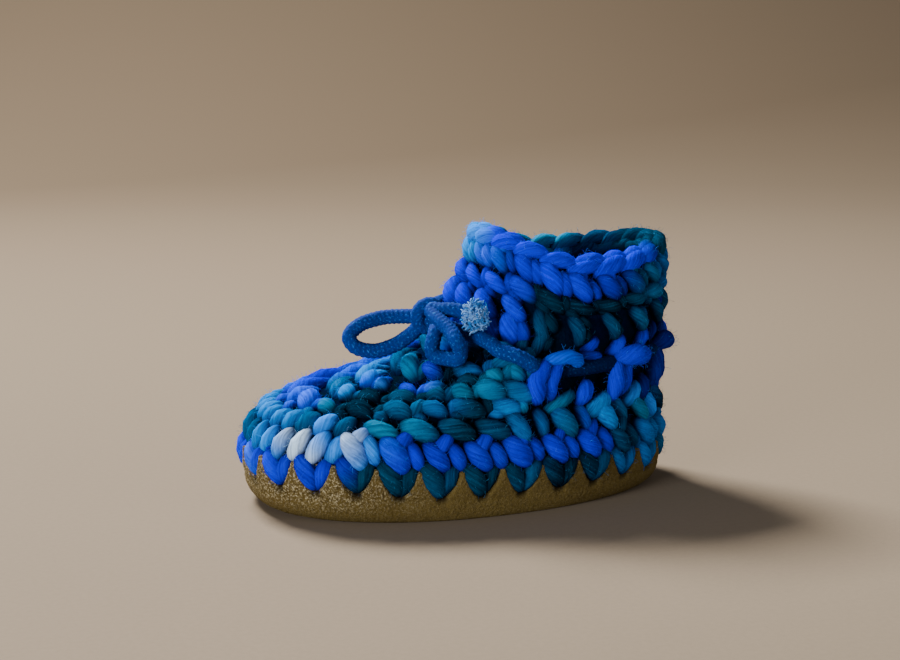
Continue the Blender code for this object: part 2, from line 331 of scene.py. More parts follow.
# The yarn's colours round each round, from the middle of the heel along the right side to the
# toe, then along the left side: dye and number of stitches.
dyeCharts = {
    "edge": (
        ("tealBlue", 1.5), ("petrol", 1.5), ("ink", 2), ("darkTeal", 2.5), ("teal", 1.5),
        ("cobalt", 2), ("royal", 2), ("lavender", 0.5), ("royal", 1.7), ("cobalt", 0.8),
        ("darkTeal", 2), ("petrol", 1), ("darkTeal", 1), ("petrol", 0.9), ("ink", 1),
        ("petrol", 0.8), ("tealBlue", 1.6), ("teal", 1.7),
    ),
    "foot1": (
        ("tealBlue", 1.5), ("petrol", 1.5), ("cobalt", 2.5), ("royal", 2), ("lavender", 1), ("ice", 1),
        ("cyan", 2), ("teal", 1.5), ("cyan", 0.8), ("ice", 0.6), ("white", 0.9), ("ice", 0.6),
        ("white", 0.35), ("ice", 0.3), ("azure", 0.45), ("cobalt", 1.7), ("royal", 1.4),
        ("cobalt", 2.5), ("petrol", 1), ("tealBlue", 1.5), ("teal", 0.9),
    ),
    "foot2": (
        ("ink", 2), ("darkTeal", 2), ("tealBlue", 2), ("royal", 2), ("cobalt", 2), ("azure", 1),
        ("cyan", 3.3), ("white", 0.3), ("teal", 0.4), ("ice", 0.4), ("teal", 0.8),
        ("brightTeal", 0.9), ("teal", 0.9), ("darkTeal", 0.9), ("petrol", 0.8), ("tealBlue", 1.2),
        ("teal", 0.6), ("azure", 0.5), ("cyan", 0.9), ("teal", 0.5), ("brightTeal", 0.7), ("ice", 0.4),
        ("ink", 1.5),
    ),
    "foot3": (
        ("navy", 2), ("cobalt", 2), ("royal", 2), ("darkTeal", 2), ("teal", 1.5), ("royal", 2),
        ("lavender", 1), ("azure", 0.5), ("lavender", 0.7), ("azure", 0.5), ("brightTeal", 0.6),
        ("ink", 0.6), ("darkTeal", 0.6), ("teal", 1.2), ("tealBlue", 0.7), ("darkTeal", 0.9),
        ("cyan", 0.9), ("brightTeal", 0.7), ("teal", 1), ("cyan", 0.9), ("tealBlue", 0.6),
        ("ice", 0.6), ("ink", 1.2), ("navy", 1.3),
    ),
    "vamp": (
        ("navy", 3), ("darkTeal", 3), ("teal", 2), ("cobalt", 1.5), ("azure", 2.5), ("teal", 1),
        ("cyan", 0.9), ("ink", 0.9), ("darkTeal", 0.5), ("teal", 0.4), ("darkTeal", 0.8),
        ("petrol", 0.8), ("brightTeal", 1.1), ("teal", 0.9), ("cyan", 0.9), ("teal", 5.8),
    ),
    "vampTop": (
        ("navy", 3), ("darkTeal", 3), ("teal", 2), ("royal", 1.5), ("azure", 1), ("cyan", 2.5),
        ("azure", 0.6), ("ice", 0.5), ("ink", 0.5), ("royal", 0.6), ("lavender", 0.5), ("petrol", 0.7),
        ("darkTeal", 0.8), ("brightTeal", 1), ("teal", 7.8),
    ),
    "throat": (
        ("navy", 3), ("darkTeal", 3), ("teal", 2), ("cobalt", 0.5), ("teal", 1.9), ("brightTeal", 0.5),
        ("royal", 0.7), ("ink", 0.8), ("tealBlue", 0.7), ("teal", 0.9), ("darkTeal", 6),
    ),
    "collar1": (
        ("navy", 2), ("darkTeal", 3), ("ink", 2), ("teal", 1.5), ("royal", 1.5), ("cobalt", 1.4),
        ("royal", 1.9), ("azure", 0.3), ("darkTeal", 1.2), ("ink", 1.6), ("darkTeal", 0.8),
        ("tealBlue", 0.8), ("navy", 2.0),
    ),
    "collar2": (
        ("darkTeal", 3), ("teal", 2), ("petrol", 2), ("darkTeal", 1), ("cobalt", 3.8),
        ("royal", 1.1), ("darkTeal", 1.2), ("ink", 1.2), ("darkTeal", 1.4), ("teal", 1.2),
        ("tealBlue", 2.0),
    ),
    "collar3": (
        ("teal", 2), ("darkTeal", 3), ("teal", 2), ("tealBlue", 1.2), ("azure", 1), ("cyan", 1.3),
        ("lavender", 0.8), ("azure", 0.6), ("cobalt", 3.9), ("navy", 0.8), ("teal", 1.2),
        ("tealBlue", 2.2),
    ),
    "rim": (
        ("darkTeal", 2), ("petrol", 2), ("brightTeal", 1.5), ("teal", 2), ("cyan", 1.9), ("ice", 1.2),
        ("lavender", 0.4), ("cobalt", 6.0), ("royal", 0.8), ("darkTeal", 2.2),
    ),
    "leaf": (
        ("navy", 2), ("petrol", 3), ("teal", 3), ("petrol", 8.2), ("teal", 1.6),
        ("petrol", 2.2),
    ),
    "post": (
        ("cobalt", 3), ("navy", 3), ("royal", 4), ("azure", 1), ("cobalt", 4.7), ("royal", 2.3),
        ("navy", 2),
    ),
    "postCap": (("royal", 3), ("cobalt", 5), ("azure", 8.3), ("royal", 1.7), ("navy", 2)),
}


def dyeAt(chart, count, stitch):  # the dye of a chart at a stitch counted from the toe
    whole = sum(run for _, run in dyeCharts[chart])
    place = (stitch / count + 0.5) % 1.0 * whole
    for name, run in dyeCharts[chart]:
        place -= run
        if place < 0.0:
            break
    return np.array(dyes[name] + (1.0,))


yarn = {
    "sides": 16,
    "pointsPerLobe": 13,
    "twist": 260.0,  # radians per metre
    "lump": 0.00045,  # how far the strand's surface wanders
    "ridge": 0.00016,
    "hairsAbove": -1.9,  # a lobe's line grows hairs where it stands out more, in millimetres
    "open": 2.0,  # the depth of a strand that lies in no hollow
    "wander": {"across": 0.02, "up": 0.025, "out": 0.18, "thick": 0.09, "dye": 0.12, "shade": 0.10},
    # between and crest: the dark streaks are painted shade in the fibre grooves of the bump, as well
    # as the yarn's streaky tone; crest lightens the light streaks as a painted highlight on the fibre
    # ridges
    "between": (0.38, 0.40, 0.48, 1.0),  # the dye is dimmed by this between two fibres
    "crest": (0.05, 0.45, 1.0, 1.0),
    "pale": (0.10, 0.50, 0.98, 1.0),
    # hollow: painted shade, dimming the yarn where it lies deep between two lobes
    "hollowShade": (0.10, 0.14, 0.22, 1.0),  # and by this deep between two lobes
    "seed": 4,
}

# A lobe's rows: across and up are shares of its stitch, out and thick are millimetres.
lobes = {
    "lead": (
        (0.00, 1.02, -2.9, 1.0), (0.07, 0.92, -1.4, 2.2), (0.22, 0.68, -0.6, 2.9),
        (0.42, 0.38, -0.6, 2.9), (0.57, 0.12, -1.3, 2.1), (0.63, -0.02, -2.9, 1.0),
    ),
    "trail": (
        (0.58, 1.02, -2.9, 0.9), (0.65, 0.86, -1.6, 1.9), (0.78, 0.55, -1.0, 2.3),
        (0.89, 0.25, -1.2, 2.0), (0.96, 0.00, -2.9, 0.9),
    ),
    "peak": (
        (0.34, 0.80, -2.6, 1.2), (0.36, 0.96, -1.4, 2.1), (0.40, 1.16, -1.2, 1.95),
        (0.43, 1.38, -1.5, 1.2), (0.45, 1.54, -2.7, 0.4),
    ),
    "wide": (
        (-0.05, 0.70, -2.9, 1.1), (0.03, 0.66, -1.4, 2.2), (0.26, 0.55, -0.6, 2.7),
        (0.55, 0.43, -0.6, 2.7), (0.80, 0.32, -1.4, 2.2), (0.90, 0.26, -2.9, 1.0),
    ),
    "uprightOne": (
        (0.10, -0.02, -2.9, 1.0), (0.13, 0.14, -1.5, 2.0), (0.22, 0.50, -0.8, 2.6),
        (0.34, 0.86, -1.4, 2.0), (0.40, 1.04, -2.9, 0.9),
    ),
    "uprightTwo": (
        (0.60, -0.02, -2.9, 1.0), (0.63, 0.14, -1.6, 1.9), (0.72, 0.50, -1.0, 2.5),
        (0.84, 0.86, -1.6, 1.9), (0.90, 1.04, -2.9, 0.9),
    ),
    "edgeLeft": (
        (0.09, 1.08, -2.8, 1.0), (0.16, 0.96, -1.3, 2.0), (0.28, 0.70, -0.7, 2.55),
        (0.39, 0.42, -0.7, 2.35), (0.47, 0.16, -1.2, 1.6), (0.50, 0.02, -2.8, 0.8),
    ),
    "edgeRight": (
        (0.90, 1.06, -3.0, 0.9), (0.84, 0.94, -1.5, 1.95), (0.73, 0.68, -1.0, 2.4),
        (0.63, 0.40, -1.0, 2.15), (0.54, 0.15, -1.4, 1.5), (0.50, 0.02, -2.9, 0.7),
    ),
    "edgeKnot": (
        (0.96, 1.00, -2.9, 0.8), (0.99, 1.10, -1.5, 1.4), (1.03, 1.24, -1.4, 1.4),
        (1.06, 1.36, -2.9, 0.7),
    ),
    "long": (
        (-0.08, 0.78, -2.9, 1.0), (0.06, 0.72, -1.4, 2.0), (0.36, 0.58, -0.6, 2.5),
        (0.66, 0.42, -0.7, 2.4), (0.90, 0.28, -1.5, 1.7), (1.02, 0.20, -2.9, 0.9),
    ),
    "tuck": (
        (0.84, 1.00, -2.9, 0.9), (0.88, 0.86, -1.6, 1.8), (0.97, 0.60, -1.2, 2.0),
        (1.05, 0.36, -1.7, 1.6), (1.09, 0.18, -2.9, 0.8),
    ),
    "under": (
        (0.06, 0.40, -2.9, 0.8), (0.18, 0.26, -1.8, 1.5), (0.34, 0.12, -1.5, 1.7),
        (0.50, 0.00, -1.8, 1.3), (0.58, -0.08, -2.9, 0.7),
    ),
    "leaf": (
        (0.00, 1.00, -2.9, 0.9), (0.08, 0.90, -1.4, 1.8), (0.30, 0.66, -0.6, 2.2),
        (0.55, 0.40, -0.7, 2.0), (0.78, 0.16, -1.3, 1.5), (0.95, -0.02, -2.9, 0.8),
    ),
    "besideLeaf": (
        (0.26, 0.98, -3.0, 0.9), (0.36, 0.90, -1.8, 1.6), (0.52, 0.78, -1.3, 1.9),
        (0.68, 0.66, -1.8, 1.6), (0.76, 0.58, -3.0, 0.8),
    ),
    "underLeaf": (
        (0.70, 0.54, -2.9, 0.8), (0.77, 0.45, -1.6, 1.5), (0.88, 0.33, -1.3, 1.7),
        (0.99, 0.21, -1.9, 1.3), (1.04, 0.14, -2.9, 0.7),
    ),
    "braidOut": (
        (-0.14, 0.22, -2.8, 0.9), (0.00, 0.28, -1.3, 1.9), (0.30, 0.44, -0.4, 2.4),
        (0.66, 0.60, -0.4, 2.3), (0.96, 0.74, -1.2, 1.6), (1.08, 0.80, -2.6, 0.9),
    ),
    "braidTop": (
        (-0.16, 0.74, -2.4, 0.9), (0.00, 0.84, -1.7, 1.8), (0.34, 0.94, -1.7, 2.3),
        (0.68, 0.96, -2.3, 2.1), (0.94, 0.88, -3.4, 1.4), (1.04, 0.80, -4.0, 0.8),
    ),
    "braidIn": (
        (-0.10, 0.78, -2.8, 0.9), (0.08, 0.70, -3.8, 1.8), (0.40, 0.56, -4.3, 2.0),
        (0.74, 0.46, -4.2, 1.7), (0.92, 0.40, -3.2, 0.9),
    ),
    "inside": (
        (-0.10, 0.30, -2.8, 0.9), (0.08, 0.42, -4.0, 1.8), (0.42, 0.55, -4.5, 2.1),
        (0.76, 0.60, -4.1, 1.9), (0.98, 0.50, -2.9, 0.9),
    ),
    "postLeft": (  # across is from the post's middle
        (0.12, -0.78, -2.2, 1.0), (0.10, -0.58, 0.0, 2.0), (0.03, -0.20, 1.7, 2.35),
        (-0.04, 0.16, 2.1, 2.2), (-0.09, 0.44, 1.6, 1.7), (-0.10, 0.58, 0.2, 1.0),
    ),
    "postRight": (
        (0.40, -0.70, -2.4, 0.9), (0.37, -0.50, -0.4, 1.7), (0.32, -0.18, 1.1, 2.0),
        (0.28, 0.12, 1.5, 1.9), (0.25, 0.40, 1.2, 1.5), (0.24, 0.54, 0.0, 0.9),
    ),
    "postCap": (
        (-0.46, 0.60, -0.4, 1.2), (-0.36, 0.70, 1.3, 2.1), (-0.14, 0.78, 2.4, 2.6),
        (0.08, 0.72, 2.5, 2.6), (0.28, 0.58, 1.9, 2.0), (0.35, 0.44, 0.0, 1.1),
    ),
    "baseLean": (
        (0.24, -0.50, -2.8, 0.9), (0.18, -0.60, -1.2, 1.7), (0.02, -0.80, -0.5, 2.2),
        (-0.14, -0.98, -1.0, 1.9), (-0.22, -1.12, -2.8, 0.9),
    ),
    "baseLeg": (
        (0.03, -0.24, -2.4, 0.9), (0.02, -0.38, -0.3, 1.9), (0.00, -0.64, 0.3, 2.2),
        (-0.02, -0.88, -0.8, 1.8), (-0.02, -1.04, -2.6, 0.8),
    ),
    "smallCap": (
        (-0.32, 0.58, -2.4, 0.9), (-0.20, 0.62, -0.8, 1.4), (0.02, 0.58, -0.4, 1.5),
        (0.22, 0.52, -0.8, 1.3), (0.32, 0.46, -2.4, 0.8),
    ),
    "wedge": (
        (-0.02, 0.84, -2.4, 0.9), (0.00, 0.98, -0.9, 1.6), (0.03, 1.18, -1.0, 1.6),
        (0.05, 1.40, -2.6, 0.8),
    ),
    "slopeHigh": (
        (-0.12, 1.00, -2.9, 1.0), (0.02, 0.95, -1.3, 2.1), (0.30, 0.80, -0.5, 2.7),
        (0.58, 0.62, -0.8, 2.4), (0.72, 0.50, -2.8, 1.0),
    ),
    "slopeLow": (
        (0.18, 0.62, -2.9, 1.0), (0.24, 0.52, -1.2, 2.1), (0.38, 0.30, -0.6, 2.6),
        (0.50, 0.06, -1.2, 2.2), (0.54, -0.08, -2.9, 1.0),
    ),
    "slopeSide": (
        (0.62, 0.56, -2.9, 0.9), (0.68, 0.45, -1.5, 1.9), (0.80, 0.24, -1.0, 2.2),
        (0.90, 0.02, -1.8, 1.7), (0.93, -0.08, -2.9, 0.8),
    ),
}

rng = np.random.default_rng(yarn["seed"])


def wander(kind):  # no two stitches are quite alike
    return rng.normal(0.0, yarn["wander"][kind])


def lineHeight(line, stitch):  # a height, or (height, stitch from which it falls, fall a stitch)
    if not isinstance(line, tuple):
        return line + 0.0 * stitch
    return line[0] - line[2] * np.clip(np.abs(stitch) - line[1], 0.0, 3.0)


def lobeStrand(name, cell, at):  # one lobe of a stitch, in a round that cell describes
    count = form[cell["columns"] + "Stitches"]
    rows = np.array(lobes[name], float)
    rows[:, 0] += wander("across")
    rows[:, 1] += wander("up")
    rows[1:-1, 2] += wander("out")
    rows[:, 3] *= cell["size"] * (1.0 + wander("thick"))
    rows = smoothRows(rows, yarn["pointsPerLobe"])
    stitch = at + rows[:, 0] * cell.get("stretch", 1.0) + cell.get("lean", 0.0) * (0.5 - rows[:, 1])
    low, high = lineHeight(cell["low"], stitch), lineHeight(cell["high"], stitch)
    turns = turnOf[cell["columns"]](stitch)
    toward = np.clip(np.cos(turns), 0.0, 1.0)
    out = rows[:, 2] - cell.get("sink", 0.0) - cell.get("toeSink", 0.0) * toward
    heights = low + rows[:, 1] * (high - low)
    points = surface(heights, turns, out * millimetre)
    shift = wander("dye")
    colours = np.array([dyeAt(cell["chart"], count, s + shift) for s in stitch])
    for _ in range(3):  # one dye runs into the next
        colours[1:-1] = (colours[:-2] + 2 * colours[1:-1] + colours[2:]) / 4
    colours[:, :3] *= 1.0 + wander("shade")
    return {
        "points": points,
        "thick": rows[:, 3] * millimetre,
        "dye": np.clip(colours, 0.0, 1.0),
        "outer": (rows[:, 2] > yarn["hairsAbove"]).astype(float),  # 1 where hairs may grow
        "depth": np.full(len(out), yarn["open"]) if cell.get("open") else rows[:, 2],
        "outward": (surface(heights, turns, (out + 1.0) * millimetre) - points) / millimetre,
    }


def guideObject(name, strands):  # the strands' lines, with what the tree needs at each point
    points, edges, spin, along = [], [], [], []
    for strand in strands:
        first = sum(len(p) for p in points)
        line = strand["points"]
        points.append(line)
        edges += [(first + i, first + i + 1) for i in range(len(line) - 1)]
        walked = np.concatenate([[0.0], np.cumsum(np.linalg.norm(np.diff(line, axis=0), axis=1))])
        along.append(walked + rng.uniform(0.0, 1.0))
        spin.append(np.full(len(line), rng.uniform(0.0, math.tau)))
    mesh = bpy.data.meshes.new(name)
    mesh.from_pydata(np.concatenate(points).tolist(), edges, [])
    for key, kind, values in (
        ("thick", "FLOAT", [s["thick"] for s in strands]),
        ("outer", "FLOAT", [s["outer"] for s in strands]),
        ("along", "FLOAT", along),
        ("spin", "FLOAT", spin),
        ("depth", "FLOAT", [s.get("depth", 0.0 * s["outer"] + yarn["open"]) for s in strands]),
        ("dye", "FLOAT_COLOR", [s["dye"] for s in strands]),
        ("outward", "FLOAT_VECTOR", [s.get("outward", 0.0 * s["points"]) for s in strands]),
    ):
        layer = mesh.attributes.new(key, kind, "POINT")
        field = {"FLOAT": "value", "FLOAT_COLOR": "color", "FLOAT_VECTOR": "vector"}[kind]
        layer.data.foreach_set(field, np.concatenate(values).ravel())
    return newObject(name, mesh)


def guidedPiece(name, strands, tree, values, slot, *nodes):
    guide = guideObject(name + "Guide", strands)
    made = runTree(name, guide, tree, values)
    bpy.data.objects.remove(guide, do_unlink=True)
    return settle(made, slot, *nodes)


def tubeAlong(graph, given):  # a tube on the guide's lines, with "around" from 0 to 1
    line = graph.add("GeometryNodeMeshToCurve", {0: given.out("Geometry")})
    circle = {"Resolution": given.out("Sides"), "Radius": 1.0}
    ring = graph.add("GeometryNodeCurvePrimitiveCircle", circle)
    ring = graph.store(ring, "around", graph.add("GeometryNodeSplineParameter"))
    values = {"Curve": line, "Profile Curve": ring, "Scale": graph.named("thick"), "Fill Caps": True}
    return graph.add("GeometryNodeCurveToMesh", values)


def raisedTube(graph, tube, normal, amount):
    offset = graph.add("ShaderNodeVectorMath", {0: normal, "Scale": amount}, {"operation": "SCALE"})
    tube = graph.add("GeometryNodeSetPosition", {"Geometry": tube, "Offset": offset})
    return graph.add("GeometryNodeSetShadeSmooth", {0: tube})


def yarnTree():
    sizes = {"Sides": "Int", "Twist": "Float", "Lump": "Float", "Ridge": "Float"}
    graph, given = geometryTree("yarnStrand", sizes)
    tube = tubeAlong(graph, given)
    around, along = graph.named("around"), graph.named("along")
    turned = around * math.tau + graph.named("spin") + along * given.out("Twist")
    parts = {0: turned.math("COSINE"), 1: turned.math("SINE"), 2: along * 90.0}
    fibre = graph.add("ShaderNodeCombineXYZ", parts)
    tube = graph.store(tube, "fibre", fibre, "FLOAT_VECTOR")
    lumps = graph.noise(graph.add("GeometryNodeInputPosition"), 190.0, 2.0)
    lump = (lumps - 0.5) * given.out("Lump") * 2.0
    fibres = graph.noise(graph.vector("MULTIPLY", fibre, (1.0, 1.0, 0.28)), 2.2, 2.0)
    ridge = (fibres - 0.5) * given.out("Ridge") * 2.0
    normal = graph.add("GeometryNodeInputNormal")
    facing = graph.vector("DOT_PRODUCT", normal, graph.named("outward", "FLOAT_VECTOR"), 1)
    # rise: how far this point stands out, in millimetres; the materials paint shade where it is low
    rise = graph.named("depth") + facing * graph.named("thick") * 1000.0  # millimetres
    tube = graph.store(tube, "rise", rise)
    return finishTree(graph, raisedTube(graph, tube, normal, lump + ridge), given)


def yarnMaterial():
    made, graph = newMaterial("yarn")
    dye, fibre = graph.attribute("dye", "Color"), graph.attribute("fibre", "Vector")
    streak = graph.noise(graph.vector("MULTIPLY", fibre, (1.0, 1.0, 0.30)), 3.2, 4.0, 0.62)
    fine = graph.noise(graph.vector("MULTIPLY", fibre, (1.0, 1.0, 0.16)), 9.0, 3.0, 0.6)
    patch = graph.noise(graph.place(), 230.0, 2.0)
    # Painted shade and highlight: streaks low in the bump are dimmed, streaks high in it take a little
    # of the crest colour
    dark, bright = graph.dim(dye, yarn["between"]), graph.mix(0.03, dye, yarn["crest"])
    colour = graph.mix(graph.between(streak, 0.34, 0.62), dark, bright)
    colour = graph.mix(graph.between(patch, 0.4, 0.75) * 0.4, colour, dye)
    pale = graph.between(fine, 0.58, 0.72) * graph.between(streak, 0.45, 0.7) * 0.20
    colour = graph.mix(pale, colour, yarn["pale"])
    # Painted shade: dimmed by the hollow colour where the strand lies deep between lobes
    risen = graph.between(graph.attribute("rise"), -1.4, 1.1)
    colour = graph.mix(risen, graph.dim(colour, yarn["hollowShade"]), colour)
    bump = graph.bump(0.42, 0.0005, streak * 0.5 + fine * 0.6)
    return finishMaterial(made, graph, colour, 0.8, 0.0, Normal=bump)


yarnStrandTree = yarnTree()
woolMaterial = yarnMaterial()


def yarnPiece(name, strands):
    values = inputsOf(yarn, woolMaterial, "sides", "twist", "lump", "ridge")
    return guidedPiece(name, strands, yarnStrandTree, values, "yarn", "upper")


fuzz = {
    "density": 430000.0,  # hairs per square metre
    "length": 0.0019,
    "thickness": 0.017,  # share of the length
    "bend": ((0.0, 0.0, -0.08), (0.05, 0.0, 0.55), (0.55, 0.1, 0.8)),  # in lengths
    "pale": (0.10, 0.50, 0.98, 1.0),
    # hollow: painted shade for the hairs that grow deep between lobes
    "hollowShade": (0.12, 0.16, 0.24, 1.0),
    "seed": 7,
}


def fuzzTree():
    sizes = {"Density": "Float", "Length": "Float", "Thickness": "Float", "Seed": "Int"}
    graph, given = geometryTree("fuzz", sizes)
    seed = given.out("Seed")
    density = given.out("Density") * graph.named("outer")
    values = {"Mesh": given.out("Geometry"), "Density": density, "Seed": seed}
    points = graph.add("GeometryNodeDistributePointsOnFaces", values)
    values = dict(zip(("Start", "Middle", "End"), fuzz["bend"]), Resolution=3)
    hair = graph.add("GeometryNodeCurveQuadraticBezier", values)
    values = {"Resolution": 3, "Radius": given.out("Thickness")}
    ring = graph.add("GeometryNodeCurvePrimitiveCircle", values)
    hair = graph.add("GeometryNodeCurveToMesh", {"Curve": hair, "Profile Curve": ring})
    values = {0: (-0.9, -0.9, -3.1), 1: (0.9, 0.9, 3.1), "Seed": seed}
    tilt = graph.add("FunctionNodeRandomValue", values, {"data_type": "FLOAT_VECTOR"})
    tilt = graph.add("FunctionNodeEulerToRotation", {0: tilt})
    values = {"Rotation": points.out("Rotation"), "Rotate By": tilt}
    turned = graph.add("FunctionNodeRotateRotation", values, {"rotation_space": "LOCAL"})
    values = {2: 0.35, 3: 1.0, "Seed": seed}
    size = graph.add("FunctionNodeRandomValue", values, {"data_type": "FLOAT"}, 1)
    values = {"Points": points, "Instance": hair, "Rotation": turned}
    values["Scale"] = size * given.out("Length")
    return finishTree(graph, graph.add("GeometryNodeInstanceOnPoints", values), given)


def fuzzMaterial():
    made, graph = newMaterial("woolFuzz")
    dye = graph.attribute("dye", "Color")
    pale = graph.between(graph.noise(graph.place(), 900.0, 1.0), 0.48, 0.66) * 0.45 + 0.05
    # Painted shade: hairs deep between lobes are dimmed by the hollow colour
    risen = graph.between(graph.attribute("rise"), -1.2, 1.3)
    colour = graph.mix(risen, graph.dim(dye, fuzz["hollowShade"]), graph.mix(pale, dye, fuzz["pale"]))
    return finishMaterial(made, graph, colour, 0.75, 0.0)


woolFuzzTree = fuzzTree()
woolFuzzMaterial = fuzzMaterial()


def fuzzPiece(source, density):
    values = inputsOf(fuzz, woolFuzzMaterial, "density", "length", "thickness", "seed")
    values["Density"] *= density
    return settle(runTree(source.name + "Fuzz", source, woolFuzzTree, values), "yarn", "upper")


tie = {
    "radius": 0.0019,
    "sides": 30,
    "pitch": 0.00125,  # length of one knitted stitch
    "columns": 9.0,
    "relief": 0.00013,
    "step": 0.00028,  # between two rings of the tube
    "dye": (0.0, 0.032, 0.27, 1.0),
    # darkDyeAndGrooveShade: a darker dye in random patches, and painted shade in the grooves between
    # the knitted stitches
    "darkDyeAndGrooveShade": (0.0, 0.012, 0.075, 1.0),
    # paleFleckAndCrestHighlight: pale flecks, gathered on the stitches' crests as a painted highlight
    "paleFleckAndCrestHighlight": (0.02, 0.24, 0.72, 1.0),
    "knotMiddle": (0.00882, 0.00378, 0.04612),
    "ankleHeight": 5.30,  # counted in grooves
    "ankleOut": 0.2,  # millimetres
    "dip": 1.9,  # behind each post
    "dipHalfWidth": 0.42,  # in stitches
    "ankleShade": 0.30,  # the light that reaches the cord behind the posts
    # the turn round the knot, in radians and millimetres
    "wrap": {"turns": (-2.2, 2.5), "radius": 3.0, "rise": 0.2, "middle": (0.6, 1.2, 0.3)},
}

tieRun = (  # level, turn in degrees and outward millimetres, from beside the knot to the heel
    (6.96, 16, 4.5), (6.96, 25, 4.2), (6.93, 35.5, 4.2), (6.72, 50.5, 4.6), (5.94, 71, 4.3),
    (5.74, 80, 3.4), (5.54, 87, 1.6), (5.40, 93, -0.3), (5.31, 100, -1.4), (5.30, 120, -1.4),
    (5.30, 150, -1.4), (5.30, 180, -1.4),
)
loopTowardToe = (  # millimetres from the knot's middle
    (3.8, -3.6, -0.5), (8.0, -6.1, -0.7), (11.5, -7.1, -1.2), (15.8, -7.5, -2.4), (19.0, -6.9, -4.7),
    (19.1, -5.6, -6.6), (17.2, -4.4, -8.1), (13.1, -3.2, -8.6), (8.6, -2.1, -7.2), (5.8, -1.0, -5.2),
    (4.4, -0.4, -4.0),
)
loopOverSide = (
    (0.0, 5.4, -1.5), (1.8, 9.4, -2.2), (3.1, 10.7, -5.0), (2.8, 10.9, -7.7), (0.8, 14.2, -8.0),
    (-1.4, 16.7, -8.0), (-2.2, 16.2, -5.8), (-1.0, 16.8, -3.3), (-0.7, 13.6, -1.4),
)
endOnLeft = (
    (-1.0, 5.7, 2.5), (-2.7, 7.3, 2.7), (-4.5, 8.8, 2.6), (-6.2, 10.5, 2.1), (-6.8, 12.5, 1.6),
    (-6.6, 14.8, 1.4),
)
endOnRight = (
    (-1.2, -3.4, 1.2), (-3.0, -7.3, 0.7), (-4.9, -11.1, 0.3), (-8.0, -16.4, 0.0), (-12.2, -22.0, -0.4),
    (-17.4, -27.0, -0.8),
)


# Each half's way on from the run: behind the knot, round its loop, back through and to its end.
tieHalves = {
    "tieLeftHalf": {
        "mirrored": False,
        "wrap": ((1.0, 1.5, -1.0), (-0.5, 3.0, -1.2)),
        "loop": loopOverSide,
        "back": ((0.5, 9.0, 0.4), (1.0, 4.5, 1.8), (0.6, 3.6, 2.4)),
        "end": endOnLeft,
        "nodes": ("tie_loop_side", "tie_end_left", "tie_knot"),
    },
    "tieRightHalf": {
        "mirrored": True,
        "wrap": ((-1.5, -4.0, -1.8), (1.0, -3.2, -1.0)),
        "loop": loopTowardToe,
        "back": ((2.2, 0.6, -1.2), (0.4, -1.6, 1.4)),
        "end": endOnRight,
        "nodes": ("tie_loop_toe", "tie_end_right"),
    },
}


def cordTree():
    sizes = {"Sides": "Int", "Pitch": "Float", "Columns": "Float", "Relief": "Float"}
    graph, given = geometryTree("knittedCord", sizes)
    tube = tubeAlong(graph, given)
    column = (graph.named("around") * given.out("Columns")).math("FRACT")
    lean = (column - 0.5).math("ABSOLUTE") * 2.0  # 0 in the middle of a column, 1 between two
    phase = graph.named("along") / given.out("Pitch") + lean * 0.8
    crest = ((phase * math.tau).math("SINE") * 0.5 + 0.5) * (1.0 - lean * lean * 0.75)
    tube = graph.store(tube, "crest", crest)
    rough = (graph.noise(graph.add("GeometryNodeInputPosition"), 700.0, 1.0) - 0.5) * 0.00022
    normal = graph.add("GeometryNodeInputNormal")
    relief = (crest - 0.6) * given.out("Relief") * 2.0
    return finishTree(graph, raisedTube(graph, tube, normal, relief + rough), given)


def cordMaterial():
    made, graph = newMaterial("knittedCord")
    crest = graph.attribute("crest")
    speck = graph.noise(graph.place(), 1500.0, 3.0, 0.7)
    broad = graph.noise(graph.place(), 160.0, 2.0)
    colour = graph.mix(graph.between(broad, 0.3, 0.8) * 0.5, tie["dye"], tie["darkDyeAndGrooveShade"])
    # Painted shade: darker in the grooves between the knitted stitches
    colour = graph.mix((1.0 - crest) * 0.55, colour, tie["darkDyeAndGrooveShade"])
    # Pale flecks all over, and more on the crests as a painted highlight
    fleckAndHighlightShare = graph.between(speck, 0.55, 0.66) * (0.12 + crest * 0.55)
    colour = graph.mix(fleckAndHighlightShare, colour, tie["paleFleckAndCrestHighlight"])
    # Painted shade: the cord's dye attribute darkens it behind the posts
    colour = graph.dim(colour, graph.attribute("dye", "Color"))
    return finishMaterial(made, graph, colour, 0.8, 0.05, Normal=graph.bump(0.5, 0.0003, speck))


knittedTree = cordTree()
knittedMaterial = cordMaterial()


def cordStrand(points, shade):
    count = max(12, int(np.linalg.norm(np.diff(points, axis=0), axis=1).sum() / tie["step"]))
    ends = np.minimum(np.arange(count), np.arange(count)[::-1])  # its ends are rounded off
    return {
        "points": smoothRows(points, count),
        "thick": tie["radius"] * np.sqrt(np.clip((ends + 1.0) / 5.0, 0.05, 1.0)),
        # The cord's dye attribute holds painted shade: the light that reaches it, less behind the
        # posts
        "dye": np.tile(np.array((shade, shade, shade, 1.0)), (count, 1)),
        "outer": np.ones(count),
    }


def cordPiece(name, points, nodes, shade=1.0):
    strand = cordStrand(points, shade)
    values = inputsOf(tie, knittedMaterial, "sides", "pitch", "columns", "relief")
    return guidedPiece(name, [strand], knittedTree, values, "cord", *nodes), strand["points"]


def tieRoute(mirrored):
    heights, turns, outs = np.array(tieRun, float).T
    turns = np.radians(360.0 - turns if mirrored else turns)
    weight = 6.0  # of a turn beside a height, for even spacing
    rows = smoothRows(np.stack([heights, turns * weight, outs], axis=1), 60)
    return surface(rows[:, 0], rows[:, 1] / weight, rows[:, 2] * millimetre)


